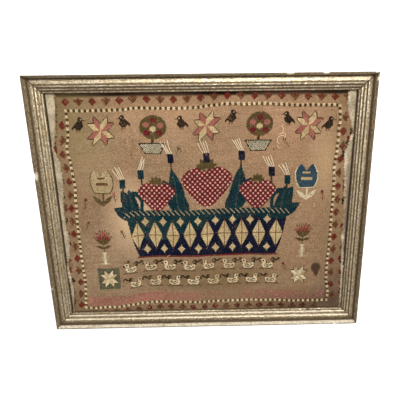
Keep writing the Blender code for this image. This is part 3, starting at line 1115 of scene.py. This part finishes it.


# The moulding
# Four lengths of softwood moulding, faced with gesso and silver leaf under a yellow lacquer, are
# mitred and glued. The leaf is rubbed on the crests, brown in the quirks, and chipped to the gesso.
# Each rail also carries bands of painted shade and painted highlight, laid on with its dirt and rubbing,
# that stand for how the light falls on its side.
RAIL_WIDE, RABBET_WIDE, LIP_UNDER, MITRE_GAP = 29.2, 10.2, 8.6, 0.4
FRAME_WIDE, FRAME_HIGH = 600.0, 480.0
RAIL_STEP = 2.6
# Dirt, painted shade, rubbing and painted highlights are laid on above the first of these heights in mm, and
# unevenness above the second
LAID_ON_FROM, UNEVEN_FROM = 9.0, 9.5


def bow(centre, radii, start, end, steps, first_grime, last_grime):
    """An arc of the moulding in mm and degrees, with the grime that lies from its start to its end."""
    for step in range(steps + 1):
        share = step / steps
        angle = math.radians(start + (end - start) * share)
        across = centre[0] + radii[0] * math.cos(angle)
        up = centre[1] + radii[1] * math.sin(angle)
        yield across, up, first_grime + (last_grime - first_grime) * share


def moulding_outline():
    """The moulding's outline from its outer foot over its face to the rabbet: across, up, grime."""
    points = [(0.0, up, 0.85) for up in (0.0, 6.0, 12.0, 17.0, 20.0)]
    points += bow((1.3, 23.3), (1.3, 1.7), 180, 90, 6, 0.85, 0.55)
    points += list(bow((1.3, 22.4), (1.7, 2.6), 90, 10, 8, 0.55, 0.10))[1:]
    points += [(3.4, 20.4, 0.10), (3.7, 18.6, 0.20), (4.1, 16.8, 0.50), (4.4, 14.8, 0.80)]
    points += bow((5.0, 13.4), (0.5, 0.9), 180, 360, 6, 0.85, 1.05)
    points += list(bow((12.9, 11.6), (7.3, 3.4), 168, 148, 7, 1.05, 0.30))[1:]
    points += list(bow((12.9, 11.6), (7.3, 3.4), 148, 90, 9, 0.30, 0.0))[1:]
    points += list(bow((12.9, 13.4), (1.5, 1.6), 90, 20, 5, 0.0, 0.7))[1:]
    points += [(14.5, 12.9, 1.15), (15.0, 12.7, 1.15)]
    points += bow((17.3, 11.6), (2.4, 2.9), 165, 90, 7, 0.75, 0.0)
    points += list(bow((17.3, 11.6), (2.6, 2.9), 90, 20, 7, 0.0, 0.60))[1:]
    points += [(19.9, 12.1, 1.15), (20.4, 11.9, 1.15)]
    points += bow((22.5, 10.8), (2.2, 2.7), 165, 90, 7, 0.75, 0.0)
    points += list(bow((22.5, 10.8), (2.3, 2.7), 90, 20, 7, 0.0, 0.60))[1:]
    points += [(24.8, 11.3, 1.15), (25.3, 11.1, 1.15)]
    points += bow((27.2, 10.1), (2.0, 2.4), 165, 90, 6, 0.75, 0.05)
    points += list(bow((27.2, 10.1), (2.0, 2.4), 90, 5, 6, 0.05, 0.70))[1:]
    rabbet = RAIL_WIDE - RABBET_WIDE
    points += [(RAIL_WIDE, LIP_UNDER, 1.0), (rabbet, LIP_UNDER, 1.0), (rabbet, 0.0, 1.0)]
    return points


OUTLINE = moulding_outline()
outline_finder = kdtree.KDTree(len(OUTLINE))
outline_runs = [0.0]
for place, (across, up, grime) in enumerate(OUTLINE):
    outline_finder.insert((across, up, 0.0), place)
    if place:
        outline_runs.append(outline_runs[-1] + math.dist(OUTLINE[place - 1][:2], (across, up)))
outline_finder.balance()

# Chips and knocks in mm, from each rail's middle seen with its outer side down: along, across, up,
# radius, depth, and 1 where white gesso shows or 0 where it is only dark
CHIPS = {
    "rail_left": (
        (-70.9, 0.3, 21.6, 5.5, 2.2, 1.0), (-64.0, 0.6, 21.8, 3.0, 1.2, 1.0),
        (-193.9, 23.3, 12.4, 1.3, 0.5, 0.0), (-166.9, 17.6, 15.0, 1.3, 0.4, 0.0),
        (40.0, 0.4, 23.0, 2.4, 0.7, 0.0), (151.0, 1.0, 23.2, 2.0, 0.5, 1.0),
    ),
    "rail_top": (
        (-297.0, 1.2, 23.0, 3.2, 1.4, 1.0), (-291.5, 3.6, 22.0, 2.2, 0.7, 1.0),
        (93.6, 0.9, 23.2, 3.4, 0.8, 0.0), (72.0, 2.8, 22.0, 3.2, 0.7, 0.0),
        (81.0, 0.8, 23.2, 2.0, 0.5, 0.0), (-150.0, 0.5, 23.2, 5.0, 0.8, 1.0),
        (-209.0, 0.6, 23.2, 3.6, 0.6, 1.0), (222.4, 22.8, 12.6, 2.2, 0.5, 0.0),
        (210.5, 22.9, 12.6, 1.6, 0.5, 0.0), (185.0, 23.7, 12.0, 1.5, 0.4, 0.0),
    ),
    "rail_right": (
        (-200.2, 0.5, 22.6, 2.6, 1.0, 1.0), (4.1, 3.4, 22.0, 1.6, 0.6, 0.0),
        (-118.3, 6.8, 15.0, 2.4, 0.5, 0.0), (228.0, 1.0, 23.0, 2.6, 0.9, 1.0),
    ),
    "rail_bottom": (
        (174.2, 16.7, 15.4, 2.4, 0.4, 1.0), (179.0, 14.0, 16.4, 1.8, 0.4, 1.0),
        (202.8, 25.8, 11.7, 2.4, 0.5, 0.0), (212.0, 25.6, 11.7, 1.6, 0.4, 0.0),
        (225.3, 25.4, 11.7, 2.2, 0.5, 0.0), (255.8, 25.6, 11.7, 2.0, 0.4, 0.0),
        (255.1, 2.1, 23.0, 3.0, 0.6, 1.0), (-250.0, 23.0, 12.6, 1.6, 0.3, 0.0),
    ),
}

gilding, gilding_shader = new_finish("worn_gilding", 0.4, 0.6)
gilding_shader.inputs["Coat Weight"].default_value = 0.15
gilding_shader.inputs["Coat Roughness"].default_value = 0.3
along_rail = add_node(gilding, "ShaderNodeUVMap", uv_map="along_rail").outputs["UV"]


def rail_grain(scale, stretch, detail=4.0, low=0.35, high=0.65):
    """Noise drawn out along the rail."""
    drawn_out = add_node(gilding, "ShaderNodeMapping", {"Vector": along_rail, "Scale": stretch})
    return noisy(gilding, drawn_out.outputs["Vector"], scale, detail, 0.6, low, high)


# The grime attribute holds the grime of the quirks and mitres and the painted shade of the rail bands
grime_and_shade_depth = add_node(gilding, "ShaderNodeAttribute", attribute_name="grime").outputs["Fac"]
# The bare attribute holds the gesso of chips and the painted highlights of the rubbed bands
gesso_and_highlight = add_node(gilding, "ShaderNodeAttribute", attribute_name="bare").outputs["Fac"]
leaf_clouds = rail_grain(60.0, (0.5, 1.0, 1.0))
rubbed_through = rail_grain(170.0, (0.40, 1.0, 1.0), 6.0, 0.50, 0.64)
long_rubs = rail_grain(600.0, (0.04, 1.0, 1.0), 3.0, 0.45, 0.65)
dark_rubs = rail_grain(560.0, (0.30, 1.0, 1.0), 5.0, 0.54, 0.62)
short_rubs = rail_grain(380.0, (0.45, 1.0, 1.0), 5.0, 0.38, 0.66)
specks = rail_grain(460.0, (0.60, 1.0, 1.0), 4.0, 0.575, 0.63)
tarnish = rail_grain(330.0, (0.90, 1.0, 1.0), 5.0, 0.46, 0.60)
pits = rail_grain(210.0, (0.90, 1.0, 1.0), 2.0, 0.70, 0.73)
brown_spots = rail_grain(250.0, (0.80, 1.0, 1.0), 3.0, 0.55, 0.63)
worn_spots = rail_grain(275.0, (0.75, 1.0, 1.0), 3.0, 0.56, 0.64)
leaf = mixed(gilding, leaf_clouds, to_linear(230, 214, 180), to_linear(198, 175, 130))
leaf = glazed(gilding, leaf, rubbed_through, 0.55, (138, 110, 70))
leaf = glazed(gilding, leaf, long_rubs, 0.50, (246, 236, 212))
leaf = glazed(gilding, leaf, dark_rubs, 0.72, (78, 56, 28))
leaf = glazed(gilding, leaf, short_rubs, 0.30, (140, 114, 76))
leaf = glazed(gilding, leaf, worn_spots, 0.56, (250, 242, 222))
grime_and_shade_edge = worked(gilding, "ADD", grime_and_shade_depth, worked(gilding, "MULTIPLY", short_rubs, 0.25))
grime_and_shade_edge = worked(gilding, "ADD", grime_and_shade_edge, worked(gilding, "MULTIPLY", brown_spots, 0.30))
wiped_off = worked(gilding, "MULTIPLY", worn_spots, worked(gilding, "SUBTRACT", 1.0, grime_and_shade_depth))
grime_and_shade_edge = worked(gilding, "SUBTRACT", grime_and_shade_edge, worked(gilding, "MULTIPLY", wiped_off, 0.55))
# Grime, with the painted shade of the rail bands, turns the leaf olive brown and dull
dirt = ranged(gilding, grime_and_shade_edge, 0.35, 1.10)
leaf = mixed(gilding, dirt, leaf, to_linear(62, 42, 15))
leaf = glazed(gilding, leaf, specks, 0.90, (40, 26, 12))
# Chipped gesso, and the painted highlights of the rubbed bands, in pale gesso colour
leaf = mixed(gilding, gesso_and_highlight, leaf, to_linear(246, 236, 214))
leaf = glazed(gilding, leaf, tarnish, 0.28, (112, 87, 52))
leaf = glazed(gilding, leaf, brown_spots, 0.46, (88, 68, 44))
leaf = glazed(gilding, leaf, pits, 0.85, (34, 22, 10))
coloured(gilding, gilding_shader, leaf)
not_leaf = worked(gilding, "ADD", specks, gesso_and_highlight)
dull = worked(gilding, "ADD", worked(gilding, "MULTIPLY", dirt, 0.9), not_leaf)
gilding.node_tree.links.new(ranged(gilding, dull, 0.0, 1.0, 0.72, 0.0), gilding_shader.inputs["Metallic"])
rough_share = worked(gilding, "ADD", dull, worked(gilding, "MULTIPLY", short_rubs, 0.3))
roughness = ranged(gilding, rough_share, 0.0, 1.0, 0.33, 0.75)
gilding.node_tree.links.new(roughness, gilding_shader.inputs["Roughness"])
sunk = worked(gilding, "ADD", specks, worked(gilding, "MULTIPLY", dark_rubs, 0.6))
rub_height = worked(gilding, "SUBTRACT", long_rubs, sunk)
raised(gilding, gilding_shader, rub_height, 0.0003, 0.6)

# Where each rail is darker or lighter than the others, in painted shade and light for how its side is lit
# and in dirt, in mm across it: from, to, how much darker
SHADE_AND_DIRT_BANDS = {
    "rail_bottom": (
        (0.0, 2.4, 0.30), (2.4, 4.3, -0.30), (4.3, 13.4, 0.62), (14.0, 16.4, -1.0), (17.8, 19.4, 0.60),
        (19.4, 21.4, -0.8), (24.6, 25.6, -0.3), (25.8, 30.0, 0.20),
    ),
    "rail_right": (
        (0.0, 4.3, 0.42), (4.3, 9.0, 0.18), (9.0, 13.2, 0.32), (13.2, 14.4, 0.50), (14.4, 19.4, 0.22),
        (19.4, 21.4, 0.45), (21.4, 24.4, 0.10), (24.4, 30.0, 0.50),
    ),
    "rail_top": (
        (0.0, 4.3, 0.32), (4.3, 13.4, -0.10), (14.2, 15.2, -0.6), (15.2, 19.6, 0.45), (19.6, 30.0, 0.56),
    ),
    "rail_left": (
        (0.0, 3.6, 0.50), (3.6, 6.0, 0.10), (6.0, 13.4, 0.30), (13.4, 19.4, 0.05), (19.4, 21.0, -0.5),
        (24.4, 25.8, -0.4), (28.3, 30.0, 0.60),
    ),
}
# Where a rail is rubbed pale, and where pale gesso colour is painted on as a highlight, in mm across it:
# from, to, how far to the gesso
RUBBED_AND_HIGHLIGHT_BANDS = {
    "rail_bottom": ((2.6, 3.9, 1.2), (14.0, 16.8, 1.2), (21.4, 23.8, 1.1)),
    "rail_right": ((16.6, 17.8, 0.15),),
    "rail_top": ((8.6, 12.2, 0.12), (16.6, 17.8, 0.15)),
    "rail_left": ((16.6, 17.8, 0.15),),
}


def mould_rail(name, length, turn, side_place):
    """One mitred length, swept along X with its outer side down, worn, and then turned to its side."""
    rail = bmesh.new()
    ring = [rail.verts.new((-length / 2, across, up)) for across, up, grime in OUTLINE]
    end = rail.faces.new(ring)
    swept = bmesh.ops.extrude_face_region(rail, geom=[end])["geom"]
    far_end = [item for item in swept if isinstance(item, bmesh.types.BMVert)]
    bmesh.ops.translate(rail, vec=(length, 0, 0), verts=far_end)
    for side in (-1, 1):
        outward = Vector((side, 1.0, 0.0)).normalized()
        corner = Vector((side * length / 2, 0.0, 0.0)) - outward * MITRE_GAP / 2
        everything = rail.verts[:] + rail.edges[:] + rail.faces[:]
        cut = bmesh.ops.bisect_plane(
            rail, geom=everything, dist=0.0001, plane_co=corner, plane_no=outward, clear_outer=True
        )["geom_cut"]
        rim = [item for item in cut if isinstance(item, bmesh.types.BMEdge)]
        bmesh.ops.contextual_create(rail, geom=rim)
    lengthways = [edge for edge in rail.edges if edge.calc_length() > length / 2]
    bmesh.ops.subdivide_edges(rail, edges=lengthways, cuts=int(length / RAIL_STEP), use_grid_fill=True)
    bmesh.ops.recalc_face_normals(rail, faces=rail.faces)
    grime_and_shade_layer = rail.verts.layers.float.new("grime")
    gesso_and_highlight_layer = rail.verts.layers.float.new("bare")
    way_layer = rail.loops.layers.uv.new("along_rail")
    rail.normal_update()
    worn_places = []
    for vertex in rail.verts:
        along, across, up = vertex.co
        place = outline_finder.find((across, up, 0.0))[1]
        from_mitre = (length / 2 - abs(along) - across) / math.sqrt(2)
        in_mitre = 1.4 * max(0.0, 1 - from_mitre / 1.8) if up > LAID_ON_FROM else 0.0
        settled_and_shaded = OUTLINE[place][2]
        rubbed_and_highlit = 0.0
        # Each rail's bands add painted shade to its grime and painted highlights to its bare gesso
        if up > LAID_ON_FROM:
            settled_and_shaded += sum(more for low, high, more in SHADE_AND_DIRT_BANDS[name] if low <= across < high)
            rubbed_and_highlit = sum(share for low, high, share in RUBBED_AND_HIGHLIGHT_BANDS[name] if low <= across < high)
        vertex[grime_and_shade_layer] = max(settled_and_shaded, in_mitre + settled_and_shaded * 0.5)
        vertex[gesso_and_highlight_layer] = rubbed_and_highlit * (0.8 + 0.7 * noise.noise(Vector((along * 0.05, across, turn))))
        sway = noise.noise(Vector((along * 0.035, outline_runs[place] * 0.10, turn))) * 0.16
        knock = noise.noise(Vector((along * 0.21, outline_runs[place] * 0.30, turn + 5))) * 0.09
        shift = vertex.normal * (sway + knock) if up > UNEVEN_FROM else Vector()
        for chip_along, chip_across, chip_up, radius, depth, gesso in CHIPS[name]:
            wide = math.hypot((along - chip_along) * 0.8, across - chip_across, up - chip_up)
            ragged = radius * (1 + 0.35 * noise.noise(Vector((along * 0.9, across * 0.9, up * 0.9))))
            if wide < ragged:
                shift -= vertex.normal * depth * (1 - (wide / ragged) ** 3)
                vertex[gesso_and_highlight_layer] = max(vertex[gesso_and_highlight_layer], gesso)
                vertex[grime_and_shade_layer] = 0.3 if gesso else 1.3
        worn_places.append(shift)
    for face in rail.faces:
        for loop in face.loops:
            along, across, up = loop.vert.co
            place = outline_finder.find((across, up, 0.0))[1]
            loop[way_layer].uv = (along * MM, outline_runs[place] * MM)
    for vertex, shift in zip(rail.verts, worn_places):
        vertex.co += shift
    bmesh.ops.triangulate(rail, faces=[face for face in rail.faces if len(face.verts) > 4])
    to_side = Matrix.Rotation(math.radians(turn), 4, "Z")
    to_side.translation = Vector(side_place)
    bmesh.ops.transform(rail, matrix=Matrix.Diagonal((MM, MM, MM, 1.0)) @ to_side, verts=rail.verts)
    piece = new_piece(name.replace("rail", "moulding"), rail, gilding, 38)
    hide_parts(name)


mould_rail("rail_bottom", FRAME_WIDE, 0, (0, -FRAME_HIGH / 2, 0))
mould_rail("rail_right", FRAME_HIGH, 90, (FRAME_WIDE / 2, 0, 0))
mould_rail("rail_top", FRAME_WIDE, 180, (0, FRAME_HIGH / 2, 0))
mould_rail("rail_left", FRAME_HIGH, 270, (-FRAME_WIDE / 2, 0, 0))
